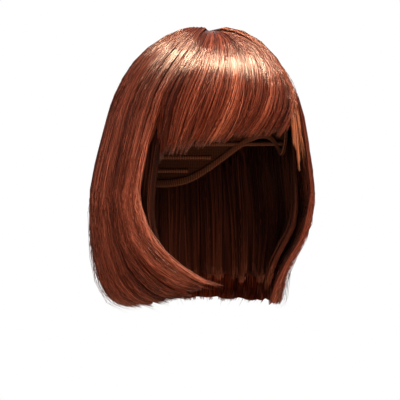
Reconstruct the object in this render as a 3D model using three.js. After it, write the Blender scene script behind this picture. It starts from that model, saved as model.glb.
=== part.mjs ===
// A chin-length bob wig with a full fringe, standing as it does when it is worn.
// Millimetres, +Z up. The origin is the top of the head, where the cap rests on it.
// The face looks along -Y, and +X is the wearer's left.
import * as THREE from "three";

// The head that the cap fits
const HEAD_WIDTH = 154;
const HEAD_LENGTH = 196;
const CROWN_HEIGHT = 100; // from the top of the head down to its widest level

// The cap and its binding
const CAP_WALL = 1.6;
const NAPE_DROP = 150; // from the top of the head to the cap's edge at the neck
const BAND_WIDTH = 8;
const BAND_WALL = 1.4;
const BAND_GAP = 0.5; // between the binding and the cap

// The hair's outer form
const CROWN_LIFT = 13; // hair above the top of the head
const SIDE_FLARE = 35; // hair beyond the head at each side, where it is widest
const FRONT_FLARE = 17;
const BACK_FLARE = 19;
const HAIR_DROP = 268; // from the top of the head to the hem
const BANGS_DROP = 103; // from the top of the head to the fringe's hem, over the nose
const TEMPLE_DROP = 134; // and to the tip of the temple lock
const PART_FRONT = 14; // the part runs from here in front of the crown
const PART_BACK = 42; // to here behind it
const PART_WIDTH = 2.4;
const PART_FADE = 3; // the higher, the closer to the part the hair's rings are round again

// Layers and locks
const SEAT_GAP = 0.9; // between the hair and the cap that it is sewn to
const PANEL_GAP = 0.8; // between neighbouring panels
const LAYER_GAP = 8; // between the outer and the inner layer, where they are furthest apart
const HAIR_THICKNESS = 10; // of the outer layer where it hangs free
const UNDER_THICKNESS = 5.5; // of the inner layer
const TIP_THICKNESS = 1.4; // at the ends of the fringe and of the temple lock
const EDGE_SHARE = 0.45; // of the outer layer's thickness, left at the edge that frames the face
const EDGE_SPREAD = 14; // degrees over which it thins out to that edge
const EDGE_START = 0.85; // of fall
const EDGE_END = 1.1;
const DEEPEST_GROOVE = 0.6; // of the hair's thickness
const VALLEY = 3.2; // depth of the grooves between locks
const LOCK_ROUNDNESS = 0.7; // the lower, the flatter a lock's face and the narrower the grooves
const UNDER_RELIEF = 0.5; // the share of that groove in the inner layer
const ROOT_DIP = 3; // how far the fringe's roots lie below the hair beside them
const BANGS_TUCK = 9; // how far the fringe's ends turn in to the brows
const BANGS_TUCK_START = 0.55; // the share of a strand's way at which it starts to
const BANGS_TUCK_HASTE = 1.5; // the higher, the later it turns in
const ROOT_DIP_START = 0.1; // of fall, from where the dip at the roots runs out
const ROOT_DIP_END = 0.45;
const TEMPLE_NOTCH = 30; // how much the temple lock's sides end above its tip
const TEMPLE_TUCK = 9; // how far in it lies from the outer form
const TEMPLE_TUCK_END = 1; // of fall
const TEMPLE_THICKNESS = 4.5;
const BANGS_NOTCH = 3.5; // how much shorter the hair is between two locks than at their tips
const SIDE_NOTCH = 9;
const UNDER_NOTCH = 8;

// How the hair is combed, in degrees round the head
const FAN = 24; // strands spread by this much from the part to the temples
const FAN_HASTE = 2; // the higher, the sooner on their way they have spread
const SWEEP_RIGHT = 44; // ends brought forward, at the front edge
const SWEEP_LEFT = 30;
const SWEEP_END = 152; // no sweep behind this
const SWEEP_FADE = 1.3; // the higher, the sooner the sweep weakens behind the front edge
const SWEEP_START = 1.1; // of fall, where the sweep begins
const SWEEP_HASTE = 2.6; // the higher, the later on its way a strand turns forward
const RISE_RIGHT = 25; // how much higher the front tips end than the hem behind them
const RISE_LEFT = 6;
const RISE_HASTE = 3.5; // the higher, the fewer locks rise with the front ones
const TUCK_RIGHT = 6; // how much further in the front locks lie than the rest, above the hem
const TUCK_LEFT = 26;

// Where each panel starts and ends, in degrees from the face, the wearer's left positive
const RIGHT_EDGE = -66;
const BANGS_LEFT_EDGE = 37;
const LEFT_EDGE = 51;
const BACK_EDGE = 114;
const NAPE_EDGE = 150;

const HEM_FALL = 2;

// The outer form from the part (fall 0) by the head's widest level (fall 1) to the hem (fall 2).
// side, ends and crown are shares of the flares and of CROWN_LIFT, drop is the share of the hair
// below the widest level, curl is how much of its reach the ring keeps as the ends turn under, and
// tuck is the share by which the front locks lie further in than the rest.
const FORM = [
  { fall: 0.0, side: 0.2, ends: 0.4, crown: 0.55, drop: 0, curl: 1, tuck: 0 },
  { fall: 0.1, side: 0.36, ends: 0.72, crown: 0.95, drop: 0, curl: 1, tuck: 0 },
  { fall: 0.22, side: 0.39, ends: 0.8, crown: 1, drop: 0, curl: 1, tuck: 0 },
  { fall: 0.42, side: 0.41, ends: 0.84, crown: 1, drop: 0, curl: 1, tuck: 0 },
  { fall: 0.62, side: 0.43, ends: 0.86, crown: 1, drop: 0, curl: 1, tuck: 0 },
  { fall: 0.82, side: 0.48, ends: 0.92, crown: 1, drop: 0, curl: 1, tuck: 0 },
  { fall: 1.0, side: 0.57, ends: 0.97, crown: 1, drop: 0, curl: 1, tuck: 0 },
  { fall: 1.15, side: 0.78, ends: 1, crown: 1, drop: 0.19, curl: 1, tuck: 0 },
  { fall: 1.3, side: 0.94, ends: 1, crown: 1, drop: 0.38, curl: 1, tuck: 0.08 },
  { fall: 1.45, side: 1, ends: 1, crown: 1, drop: 0.565, curl: 1, tuck: 0.35 },
  { fall: 1.58, side: 1, ends: 0.97, crown: 1, drop: 0.715, curl: 0.99, tuck: 0.75 },
  { fall: 1.7, side: 0.98, ends: 0.92, crown: 1, drop: 0.845, curl: 0.955, tuck: 1 },
  { fall: 1.8, side: 0.94, ends: 0.88, crown: 1, drop: 0.93, curl: 0.895, tuck: 0.95 },
  { fall: 1.88, side: 0.9, ends: 0.86, crown: 1, drop: 0.977, curl: 0.825, tuck: 0.7 },
  { fall: 1.94, side: 0.87, ends: 0.85, crown: 1, drop: 0.995, curl: 0.755, tuck: 0.4 },
  { fall: 2.0, side: 0.85, ends: 0.85, crown: 1, drop: 1, curl: 0.675, tuck: 0 },
];

// The layers along the same way down: thick is the outer layer's share of HAIR_THICKNESS, above 2
// where it fills the room down to the cap, apart the share of LAYER_GAP behind it, under the share
// of UNDER_THICKNESS, and groove the share of VALLEY between locks.
const LAYERS = [
  { fall: 0.0, thick: 3, apart: 0.1, under: 1, groove: 0.15 },
  { fall: 0.3, thick: 3, apart: 0.1, under: 1, groove: 0.35 },
  { fall: 0.74, thick: 3, apart: 0.1, under: 1, groove: 0.6 },
  { fall: 0.86, thick: 1.15, apart: 0.12, under: 1, groove: 0.7 },
  { fall: 1.0, thick: 1.1, apart: 0.3, under: 1, groove: 0.8 },
  { fall: 1.15, thick: 1.0, apart: 0.85, under: 1, groove: 0.9 },
  { fall: 1.3, thick: 0.95, apart: 1, under: 1, groove: 1 },
  { fall: 1.58, thick: 0.95, apart: 0.6, under: 1, groove: 1 },
  { fall: 1.8, thick: 0.8, apart: 0.35, under: 0.7, groove: 1 },
  { fall: 1.94, thick: 0.4, apart: 0.3, under: 0.3, groove: 1 },
  { fall: 2.0, thick: 0.14, apart: 0.3, under: 0.25, groove: 1 },
];

// The cap's edge, as a share of NAPE_DROP, with the ear tab at 70 degrees
const CAP_EDGE = [
  { turn: 0, drop: 0.35 },
  { turn: 30, drop: 0.37 },
  { turn: 50, drop: 0.46 },
  { turn: 60, drop: 0.66 },
  { turn: 70, drop: 0.82 },
  { turn: 80, drop: 0.72 },
  { turn: 95, drop: 0.65 },
  { turn: 115, drop: 0.72 },
  { turn: 135, drop: 0.86 },
  { turn: 155, drop: 0.97 },
  { turn: 180, drop: 1 },
];

// The fringe's hem from temple to temple, as a share of BANGS_DROP
const BANGS_HEM = [
  { turn: -66, drop: 1.22 },
  { turn: -45, drop: 1.15 },
  { turn: -20, drop: 1.04 },
  { turn: 0, drop: 1 },
  { turn: 15, drop: 0.99 },
  { turn: 28, drop: 0.94 },
  { turn: 37, drop: 0.86 },
];

// The locks of each panel, those at the sides from the face backwards: width is relative to the
// panel's other locks, ridge the share of the full groove beside it, and short the share of the
// panel's notch by which its tip ends higher.
const BANGS_LOCKS = [
  { width: 1.1, ridge: 1, short: 0 },
  { width: 0.8, ridge: 0.7, short: 0.8 },
  { width: 1.2, ridge: 0.9, short: 0.1 },
  { width: 1, ridge: 0.8, short: 0.6 },
  { width: 1.2, ridge: 0.9, short: 0 },
  { width: 0.8, ridge: 0.7, short: 0.9 },
  { width: 1.1, ridge: 0.8, short: 0.2 },
  { width: 0.9, ridge: 0.8, short: 0.6 },
  { width: 1.1, ridge: 0.9, short: 0 },
  { width: 1, ridge: 0.8, short: 0.5 },
];
const SIDE_LOCKS = [
  { width: 0.8, ridge: 1, short: 0 },
  { width: 1, ridge: 1, short: 0.4 },
  { width: 1.2, ridge: 0.9, short: 0.1 },
  { width: 0.9, ridge: 0.8, short: 0.6 },
  { width: 1.1, ridge: 0.9, short: 0.1 },
  { width: 1, ridge: 0.7, short: 0.5 },
  { width: 1.1, ridge: 0.9, short: 0.2 },
];
const BACK_LOCKS = [
  { width: 1, ridge: 0.8, short: 0.2 },
  { width: 1.2, ridge: 0.9, short: 0 },
  { width: 0.9, ridge: 0.7, short: 0.6 },
  { width: 1.1, ridge: 0.9, short: 0.2 },
  { width: 1, ridge: 1, short: 0 },
  { width: 1.2, ridge: 0.8, short: 0.5 },
  { width: 1, ridge: 0.9, short: 0.1 },
  { width: 0.8, ridge: 0.8, short: 0.7 },
  { width: 1.2, ridge: 0.9, short: 0 },
  { width: 1, ridge: 0.8, short: 0.4 },
];
const TEMPLE_LOCKS = [{ width: 1, ridge: 0.9, short: 0 }];
const NAPE_LOCKS = [
  { width: 1, ridge: 1, short: 0.3 },
  { width: 1.2, ridge: 1, short: 0 },
  { width: 0.9, ridge: 1, short: 0.6 },
  { width: 1.1, ridge: 1, short: 0.1 },
  { width: 1, ridge: 1, short: 0.4 },
];
const UNDER_LOCKS = [
  { width: 1, ridge: 1, short: 0 },
  { width: 1.2, ridge: 1, short: 0.6 },
  { width: 0.9, ridge: 1, short: 0.1 },
  { width: 1.1, ridge: 1, short: 0.5 },
  { width: 1, ridge: 1, short: 0 },
  { width: 1.1, ridge: 1, short: 0.6 },
];

// The inner layer hangs from just above the head's widest level, in fall, down to short of the hem
const UNDER_TOP = 0.93;
const UNDER_END = 1.82;

// The mesh of every panel
const STEPS_PER_LOCK = 3;
const TEMPLE_STEPS = 4;
const CROWN_ROWS = 7; // shared by neighbours, so that their sides run parallel
const CROWN_END = 0.7; // of fall
const OUTER_ROWS = 12; // below those
const BANGS_ROWS = 5;
const TEMPLE_ROWS = 6;
const UNDER_ROWS = 11;
const CAP_COLUMNS = 36;
const CAP_ROWS = 8;
const BAND_ROWS = 1;

const HALF_WIDTH = HEAD_WIDTH / 2;
const HALF_LENGTH = HEAD_LENGTH / 2;
const NORMAL_STEP = 0.01; // of fall, for the slope of the form
const NORMAL_TURN = 0.6; // degrees
const LEVEL_HALVINGS = 24; // of the range in which a level is looked for
const FREE_START = 1; // of fall, from where the hair hangs clear of the head
const FREE_END = 1.4;
const ROOT_RADIUS = 8; // nearer the part than this, panels close up to each other

const { degToRad, radToDeg, lerp, clamp, smoothstep } = THREE.MathUtils;

// Reads a column of a table at a place between its rows, rounding the corners of the slope.
function read(table, key, at, column) {
  const last = table.length - 1;
  let i = table.findIndex((row) => row[key] > at) - 1;
  if (i < 0) i = at <= table[0][key] ? 0 : last - 1;
  const [a, b] = [table[i], table[i + 1]];
  const slope = (j) => {
    const [lo, hi] = [table[Math.max(j - 1, 0)], table[Math.min(j + 1, last)]];
    return (hi[column] - lo[column]) / (hi[key] - lo[key]);
  };
  const span = b[key] - a[key];
  const t = clamp((at - a[key]) / span, 0, 1);
  const [t2, t3] = [t * t, t * t * t];
  return (
    (2 * t3 - 3 * t2 + 1) * a[column] +
    (t3 - 2 * t2 + t) * span * slope(i) +
    (3 * t2 - 2 * t3) * b[column] +
    (t3 - t2) * span * slope(i + 1)
  );
}

// The angle from the top of the head at which a fall between 0 and 1 leaves the part.
function polar(fall) {
  const first = Math.asin(PART_WIDTH / HEAD_WIDTH);
  return lerp(first, Math.PI / 2, Math.min(fall, 1));
}

// How strongly a strand is swept forward: 1 at the panels' front edges, 0 at the back.
function sweepShare(turn) {
  const front = turn < 0 ? -RIGHT_EDGE : LEFT_EDGE;
  return clamp((SWEEP_END - Math.abs(turn)) / (SWEEP_END - front), 0, 1) ** SWEEP_FADE;
}

// Where a strand that starts its way at a turn has got to, round the head.
function combed(turn, fall) {
  const fan = FAN * Math.sin(degToRad(turn)) * (1 - Math.min(fall, 1)) ** FAN_HASTE;
  const sweep = turn < 0 ? SWEEP_RIGHT : SWEEP_LEFT;
  const late = Math.max(fall - SWEEP_START, 0) / (HEM_FALL - SWEEP_START);
  return degToRad(turn - fan - Math.sign(turn) * sweep * sweepShare(turn) * late ** SWEEP_HASTE);
}

// A point of the outer form.
function formPoint(start, fall) {
  const turn = start > 180 ? start - 360 : start;
  const way = combed(turn, fall);
  const angle = polar(fall);
  const ahead = Math.cos(way);
  const ends = ahead > 0 ? FRONT_FLARE : BACK_FLARE;
  const a = HALF_WIDTH + SIDE_FLARE * read(FORM, "fall", fall, "side");
  const b = HALF_LENGTH + ends * read(FORM, "fall", fall, "ends");
  const c = CROWN_HEIGHT + CROWN_LIFT * read(FORM, "fall", fall, "crown");
  const curl = read(FORM, "fall", fall, "curl");
  const part = (1 - Math.sin(angle)) ** PART_FADE;
  const x = a * Math.sin(angle) * Math.sin(way);
  const reach = b * Math.sin(angle) + (part * (PART_FRONT + PART_BACK)) / 2;
  const y = (part * (PART_BACK - PART_FRONT)) / 2 - reach * ahead;
  if (fall < 1) {
    const level = 1 - (x / a) ** 2 - (y / b) ** 2;
    return new THREE.Vector3(x, y, c * Math.sqrt(Math.max(level, 0)) - CROWN_HEIGHT);
  }
  const rise = (turn < 0 ? RISE_RIGHT : RISE_LEFT) * sweepShare(turn) ** RISE_HASTE;
  const free = HAIR_DROP - CROWN_HEIGHT - rise;
  const z = -CROWN_HEIGHT - free * read(FORM, "fall", fall, "drop");
  const tuck = (turn < 0 ? TUCK_RIGHT : TUCK_LEFT) * sweepShare(turn) * read(FORM, "fall", fall, "tuck");
  const kept = curl - tuck / (HALF_WIDTH + SIDE_FLARE);
  return new THREE.Vector3(x * kept, y * kept, z);
}

// The outward direction of the form.
function formNormal(turn, fall) {
  const high = Math.min(fall + NORMAL_STEP, HEM_FALL);
  const low = Math.max(fall - NORMAL_STEP, 0);
  const down = formPoint(turn, high).sub(formPoint(turn, low));
  const round = formPoint(turn + NORMAL_TURN, fall).sub(formPoint(turn - NORMAL_TURN, fall));
  return down.cross(round).normalize();
}

// A point at a depth below the form, which stops short of the cap by at least a clearance. Over the
// head the way in leads to the head's middle, and where the hair hangs free it follows the normal.
function hairPoint(turn, fall, depth, clearance) {
  const p = formPoint(turn, fall);
  const off = CAP_WALL + clearance;
  const middle = new THREE.Vector3(0, 0, Math.min(p.z, -CROWN_HEIGHT));
  const inward = middle.sub(p);
  const seat = Math.hypot(
    inward.x / (HALF_WIDTH + off),
    inward.y / (HALF_LENGTH + off),
    inward.z / (CROWN_HEIGHT + off),
  );
  const below = Math.min(p.z + CROWN_HEIGHT, 0) / (CROWN_HEIGHT + off);
  const room = inward.length() * (1 - Math.sqrt(Math.max(1 - below ** 2, 0)) / seat);
  const free = smoothstep(fall, FREE_START, FREE_END);
  inward.normalize().lerp(formNormal(turn, fall).negate(), free).normalize();
  return p.addScaledVector(inward, Math.min(depth, room));
}

// The fall at which the form has come down to a level.
function fallAt(turn, level) {
  let [low, high] = [0, HEM_FALL];
  for (let i = 0; i < LEVEL_HALVINGS; i++) {
    const middle = (low + high) / 2;
    if (formPoint(turn, middle).z > level) low = middle;
    else high = middle;
  }
  return low;
}

// A closed solid between an outer and an inner sheet of points. The columns either stop at two
// side walls or go all the way round, and with a pole the first row of each sheet is one point.
function solidBetween(columns, rows, outer, inner, { round = false, pole = false } = {}) {
  const across = round ? columns : columns + 1;
  const points = [];
  const sheets = [outer, inner].map((sheet) => {
    const first = points.length / 3;
    for (let j = 0; j <= rows; j++)
      for (let i = 0; i < (pole && j === 0 ? 1 : across); i++)
        points.push(...sheet(i / columns, j / rows).toArray());
    return (i, j) => {
      if (pole && j === 0) return first;
      return first + (pole ? 1 + (j - 1) * across : j * across) + (i % across);
    };
  });
  const faces = [];
  const quad = (a, b, c, d) => {
    if (a !== b) faces.push(a, c, b);
    if (a !== d) faces.push(a, d, c);
  };
  const [out, under] = sheets;
  for (let j = 0; j < rows; j++)
    for (let i = 0; i < columns; i++) {
      quad(out(i, j), out(i + 1, j), out(i + 1, j + 1), out(i, j + 1));
      quad(under(i, j), under(i, j + 1), under(i + 1, j + 1), under(i + 1, j));
    }
  for (let i = 0; i < columns; i++) {
    if (!pole) quad(under(i, 0), under(i + 1, 0), out(i + 1, 0), out(i, 0));
    quad(out(i, rows), out(i + 1, rows), under(i + 1, rows), under(i, rows));
  }
  if (!round)
    for (let j = 0; j < rows; j++) {
      quad(under(0, j), out(0, j), out(0, j + 1), under(0, j + 1));
      quad(out(columns, j), under(columns, j), under(columns, j + 1), out(columns, j + 1));
    }
  const geometry = new THREE.BufferGeometry();
  geometry.setAttribute("position", new THREE.Float32BufferAttribute(points, 3));
  geometry.setIndex(faces);
  geometry.computeVertexNormals();
  return geometry;
}

// The columns of a panel's locks: the turn each starts from, how deep it lies in the groove between
// two locks, by what share of the notch it ends higher than the longest tip, and how far it has
// come from the panel's first edge.
function lockColumns(locks, from, to, steps) {
  const total = locks.reduce((sum, lock) => sum + lock.width, 0);
  const columns = [];
  let passed = 0;
  for (const lock of locks) {
    for (let i = 0; i < steps; i++) {
      const across = i / steps;
      const groove = 1 - Math.sin(Math.PI * across) ** LOCK_ROUNDNESS;
      const turn = lerp(from, to, (passed + across * lock.width) / total);
      const edge = smoothstep(Math.abs(turn - from), 0, EDGE_SPREAD);
      columns.push({ turn, groove: groove * lock.ridge, short: lerp(lock.short, 1, groove), edge });
    }
    passed += lock.width;
  }
  columns.push({ turn: to, groove: 1, short: 1, edge: 1 });
  return to < from ? columns.reverse() : columns;
}

// The turn of a panel's column, with half of the gap to the next panel taken off at its two sides.
function spacedTurn(columns, i, fall) {
  const { turn } = columns[i];
  if (i > 0 && i < columns.length - 1) return turn;
  const p = formPoint(turn, fall);
  const half = radToDeg(PANEL_GAP / 2 / Math.max(Math.hypot(p.x, p.y), ROOT_RADIUS));
  return i === 0 ? turn + half : turn - half;
}

// How far down its lock's way a column ends: the hem's fall, less its share of the notch.
function endOf(column, hem, notch) {
  const fallPerMillimetre = 1 / (HAIR_DROP - CROWN_HEIGHT);
  return hem(column.turn) - column.short * notch * fallPerMillimetre;
}

function hairMaterial(colour) {
  return new THREE.MeshStandardMaterial({ color: colour, roughness: 0.35, metalness: 0 });
}

function named(name, geometry, material) {
  const mesh = new THREE.Mesh(geometry, material);
  mesh.name = name;
  return mesh;
}

// A panel of hair whose two sheets lie at given depths below the form.
function panel(name, shape, material) {
  const { from, to, locks, steps = STEPS_PER_LOCK, rows, top = 0, hem, notch, outer, inner } = shape;
  const columns = lockColumns(locks, from, to, steps);
  const count = columns.length - 1;
  const crownRows = top < CROWN_END ? CROWN_ROWS : 0;
  const allRows = rows + crownRows;
  const sheet = (depth) => (u, s) => {
    const i = Math.round(u * count);
    const j = Math.round(s * allRows);
    const end = endOf(columns[i], hem, notch);
    const free = Math.max(top, CROWN_END);
    const fall = j < crownRows ? (CROWN_END * j) / crownRows : lerp(free, end, (j - crownRows) / rows);
    return hairPoint(spacedTurn(columns, i, fall), fall, depth(fall, columns[i], end), SEAT_GAP);
  };
  return named(name, solidBetween(count, allRows, sheet(outer), sheet(inner)), material);
}

const layer = (fall, column) => read(LAYERS, "fall", fall, column);

// The outer layer: its face has grooves between the locks, its back is smooth, and it thins out
// to the edge that frames the face.
const grooveDepth = (fall, { groove }) => VALLEY * groove * layer(fall, "groove");
const fullBack = (fall) => HAIR_THICKNESS * layer(fall, "thick");
const outerBack = (fall, { edge }) => {
  const thin = smoothstep(fall, EDGE_START, EDGE_END) * (1 - edge);
  return fullBack(fall) * (1 - thin * (1 - EDGE_SHARE));
};
const outerFace = (fall, column) =>
  Math.min(grooveDepth(fall, column), outerBack(fall, column) * DEEPEST_GROOVE);

// The inner layer hangs behind the outer one.
const underFace = (fall, column) =>
  fullBack(fall) + LAYER_GAP * layer(fall, "apart") + UNDER_RELIEF * grooveDepth(fall, column);
const underBack = (fall) =>
  fullBack(fall) + LAYER_GAP * layer(fall, "apart") + UNDER_THICKNESS * layer(fall, "under");

// The temple lock lies in against the face and thins out to its tip.
const templeTuck = (fall) => TEMPLE_TUCK * smoothstep(fall, BANGS_TUCK_START, TEMPLE_TUCK_END);
const templeFace = (fall, column) => outerFace(fall, column) + templeTuck(fall);
const templeBack = (fall, column, end) =>
  templeFace(fall, column) +
  lerp(TEMPLE_THICKNESS, TIP_THICKNESS, smoothstep(fall, BANGS_TUCK_START * end, end));

// The fringe turns in towards the brows, and thins out to its ends.
const tuck = (fall, end) =>
  BANGS_TUCK * smoothstep(fall, BANGS_TUCK_START * end, end) ** BANGS_TUCK_HASTE;
const rootDip = (fall) => ROOT_DIP * (1 - smoothstep(fall, ROOT_DIP_START, ROOT_DIP_END));
const bangsFace = (fall, column, end) =>
  grooveDepth(fall, column) + rootDip(fall) + tuck(fall, end);
const bangsBack = (fall, column, end) => {
  const thin = smoothstep(fall, BANGS_TUCK_START * end, end);
  const thickness = lerp(fullBack(fall), TIP_THICKNESS + VALLEY, thin);
  return rootDip(fall) + tuck(fall, end) + thickness;
};

function bangsHem(turn) {
  return fallAt(turn, -BANGS_DROP * read(BANGS_HEM, "turn", turn, "drop"));
}

function makeBangs(material) {
  const [from, to] = [RIGHT_EDGE, BANGS_LEFT_EDGE];
  const shape = { from, to, locks: BANGS_LOCKS, rows: BANGS_ROWS, hem: bangsHem, notch: BANGS_NOTCH };
  return panel("bangs", { ...shape, outer: bangsFace, inner: bangsBack }, material);
}

function makeTempleLock(material) {
  const hem = (turn) => fallAt(turn, -TEMPLE_DROP);
  const [from, to] = [BANGS_LEFT_EDGE, LEFT_EDGE];
  const shape = { from, to, locks: TEMPLE_LOCKS, steps: TEMPLE_STEPS, rows: TEMPLE_ROWS };
  const depths = { hem, notch: TEMPLE_NOTCH, outer: templeFace, inner: templeBack };
  return panel("temple_lock", { ...shape, ...depths }, material);
}

function makeOuterPanel(name, from, to, locks, material) {
  const shape = { from, to, locks, rows: OUTER_ROWS, hem: () => HEM_FALL, notch: SIDE_NOTCH };
  return panel(name, { ...shape, outer: outerFace, inner: outerBack }, material);
}

function makeUnderPanel(name, from, to, locks, material) {
  const shape = { from, to, locks, rows: UNDER_ROWS, top: UNDER_TOP, hem: () => UNDER_END };
  return panel(name, { ...shape, notch: UNDER_NOTCH, outer: underFace, inner: underBack }, material);
}

// A point of the head's surface at a height below its top, moved out or in by an offset.
function headPoint(turn, drop, offset) {
  const angle = Math.acos(1 - drop / CROWN_HEIGHT);
  const way = degToRad(turn);
  return new THREE.Vector3(
    (HALF_WIDTH + offset) * Math.sin(angle) * Math.sin(way),
    -(HALF_LENGTH + offset) * Math.sin(angle) * Math.cos(way),
    (CROWN_HEIGHT + offset) * Math.cos(angle) - CROWN_HEIGHT,
  );
}

function capEdge(turn) {
  const away = Math.abs(turn > 180 ? 360 - turn : turn);
  return NAPE_DROP * read(CAP_EDGE, "turn", away, "drop");
}

// The cap's last row of faces is as high as the binding behind it, so the two lie parallel.
function makeCap(material) {
  const wall = (offset) => (u, s) => {
    const turn = u * 360;
    if (s === 1) return headPoint(turn, capEdge(turn), offset);
    const share = (s * CAP_ROWS) / (CAP_ROWS - 1);
    const last = Math.acos(1 - (capEdge(turn) - BAND_WIDTH) / CROWN_HEIGHT);
    return headPoint(turn, CROWN_HEIGHT * (1 - Math.cos(last * share)), offset);
  };
  const shape = { round: true, pole: true };
  const geometry = solidBetween(CAP_COLUMNS, CAP_ROWS, wall(CAP_WALL), wall(0), shape);
  return named("cap", geometry, material);
}

// The binding lies inside the cap along its edge.
function makeCapBand(material) {
  const wall = (offset) => (u, s) => {
    const turn = u * 360;
    return headPoint(turn, capEdge(turn) - BAND_WIDTH * (1 - s), offset);
  };
  const [outer, inner] = [wall(-BAND_GAP), wall(-BAND_GAP - BAND_WALL)];
  const geometry = solidBetween(CAP_COLUMNS, BAND_ROWS, outer, inner, { round: true });
  return named("cap_band", geometry, material);
}

function makeWig() {
  const net = new THREE.MeshStandardMaterial({ color: "#2a1a16", roughness: 0.8, metalness: 0 });
  const binding = new THREE.MeshStandardMaterial({ color: "#3a251e", roughness: 0.7, metalness: 0 });
  const auburn = hairMaterial("#8a452c");
  const fringe = hairMaterial("#823d26");
  const dark = hairMaterial("#3a1e17");
  const bright = hairMaterial("#a5613a");
  const wig = new THREE.Group();
  wig.name = "wig_with_bangs";
  wig.add(makeCap(net), makeCapBand(binding));
  wig.add(makeBangs(fringe), makeTempleLock(bright));
  wig.add(makeOuterPanel("side_right", RIGHT_EDGE, -BACK_EDGE, SIDE_LOCKS, auburn));
  wig.add(makeOuterPanel("side_left", LEFT_EDGE, BACK_EDGE, SIDE_LOCKS, auburn));
  wig.add(makeOuterPanel("back", BACK_EDGE, 360 - BACK_EDGE, BACK_LOCKS, auburn));
  wig.add(makeUnderPanel("under_right", RIGHT_EDGE, -NAPE_EDGE, UNDER_LOCKS, dark));
  wig.add(makeUnderPanel("under_left", LEFT_EDGE, NAPE_EDGE, UNDER_LOCKS, dark));
  wig.add(makeUnderPanel("nape", NAPE_EDGE, 360 - NAPE_EDGE, NAPE_LOCKS, dark));
  return wig;
}

export default makeWig();
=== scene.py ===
# A chin-length bob wig with a full fringe, as it stands when it is worn.
import math

import bpy
import numpy as np
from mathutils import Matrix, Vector


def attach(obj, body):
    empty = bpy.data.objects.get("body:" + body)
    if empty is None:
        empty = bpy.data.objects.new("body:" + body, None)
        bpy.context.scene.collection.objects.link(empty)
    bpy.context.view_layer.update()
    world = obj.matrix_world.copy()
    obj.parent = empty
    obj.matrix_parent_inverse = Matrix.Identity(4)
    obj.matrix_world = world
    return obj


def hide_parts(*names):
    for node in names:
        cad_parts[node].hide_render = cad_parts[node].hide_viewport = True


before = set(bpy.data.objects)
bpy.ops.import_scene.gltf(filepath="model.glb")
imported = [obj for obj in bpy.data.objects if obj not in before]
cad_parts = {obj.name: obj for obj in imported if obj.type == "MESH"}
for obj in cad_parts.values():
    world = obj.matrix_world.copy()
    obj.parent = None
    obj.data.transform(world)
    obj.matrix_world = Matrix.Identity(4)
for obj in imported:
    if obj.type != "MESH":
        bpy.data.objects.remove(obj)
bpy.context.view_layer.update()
bpy.ops.object.select_all(action="DESELECT")

# The camera stands two metres away, a little below the middle of the hair and a third of a right
# angle round to the wearer's right, with a portrait lens.
VIEW_TURN = -31
VIEW_RISE = 1
VIEW_DISTANCE = 2.0
AIM_DROP = -0.161  # the middle of the picture, below the top of the head
AIM_ASIDE = -0.005
LENS_MM = 180
FILM_MM = 36


def bearing(turn, rise):
    """The direction away from the wig at a turn from straight ahead and a rise, in degrees."""
    turn, rise = math.radians(turn), math.radians(rise)
    return Vector((math.sin(turn) * math.cos(rise), -math.cos(turn) * math.cos(rise), math.sin(rise)))


def look_back(thing, away):
    """Turns a camera or a light that stands away from the wig to face it."""
    thing.rotation_mode = "QUATERNION"
    thing.rotation_quaternion = (-away).to_track_quat("-Z", "Y")


view_back = bearing(VIEW_TURN, VIEW_RISE)
aim = bearing(VIEW_TURN + 90, 0) * AIM_ASIDE + Vector((0, 0, AIM_DROP))
bpy.ops.object.camera_add(location=aim + view_back * VIEW_DISTANCE)
camera = bpy.context.object
look_back(camera, view_back)
camera.data.lens = LENS_MM
camera.data.sensor_width = FILM_MM
bpy.context.scene.camera = camera


# The studio: a white room with a pale floor. Three narrow lights overhead draw the bright band across
# the crown, and two at the crown its sides. The wide lights round the wig fill its shadows without
# glints, as far and soft lights do.
ROOM_WHITE = "#ffffff"
ROOM_SHADE = 0.2  # how bright the room is away from the lit wall behind the wig
FLOOR_DROP = -2.6
FLOOR_SIZE = 14.0
FLOOR_PALE = "#e9e7e4"
LIGHT_AIM_DROP = -0.12  # what the lights face, below the top of the head
TUNGSTEN = "#fff0df"
WARM_BOUNCE = "#ffd9b8"  # warm light thrown back from below


def linear(hex_colour):
    """Turns an sRGB hex colour to linear values."""
    parts = [int(hex_colour[i:i + 2], 16) / 255 for i in (1, 3, 5)]
    return (*(p / 12.92 if p <= 0.04045 else ((p + 0.055) / 1.055) ** 2.4 for p in parts), 1.0)


def plug(node, **inputs):
    """Links or fills inputs of a node, by name, or as _0 and so on by number."""
    for name, value in inputs.items():
        socket = node.inputs[int(name[1:]) if name[1:].isdigit() else name.replace("_", " ")]
        if isinstance(value, bpy.types.NodeSocket):
            node.id_data.links.new(value, socket)
        else:
            socket.default_value = value
    return node


def add_node(tree, kind, settings=(), **inputs):
    """Adds a node to a tree, sets what it is told, and links or fills its inputs."""
    made = tree.nodes.new(kind)
    for name, value in dict(settings).items():
        setattr(made, name, value)
    return plug(made, **inputs)


def new_material(name):
    """A material with the nodes that it starts with, and its shader."""
    made = bpy.data.materials.new(name)
    made.use_nodes = True
    return made, made.node_tree.nodes["Principled BSDF"]


def softbox(name, turn, rise, distance, width, height, power, colour=TUNGSTEN, glint=True):
    """An oblong area light that faces the wig from a bearing round it."""
    away = bearing(turn, rise)
    bpy.ops.object.light_add(type="AREA", location=away * distance + Vector((0, 0, LIGHT_AIM_DROP)))
    light = bpy.context.object
    light.name = name
    look_back(light, away)
    light.data.shape = "RECTANGLE"
    light.data.size = width
    light.data.size_y = height
    light.data.energy = power
    light.data.color = linear(colour)[:3]
    light.visible_glossy = glint


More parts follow.
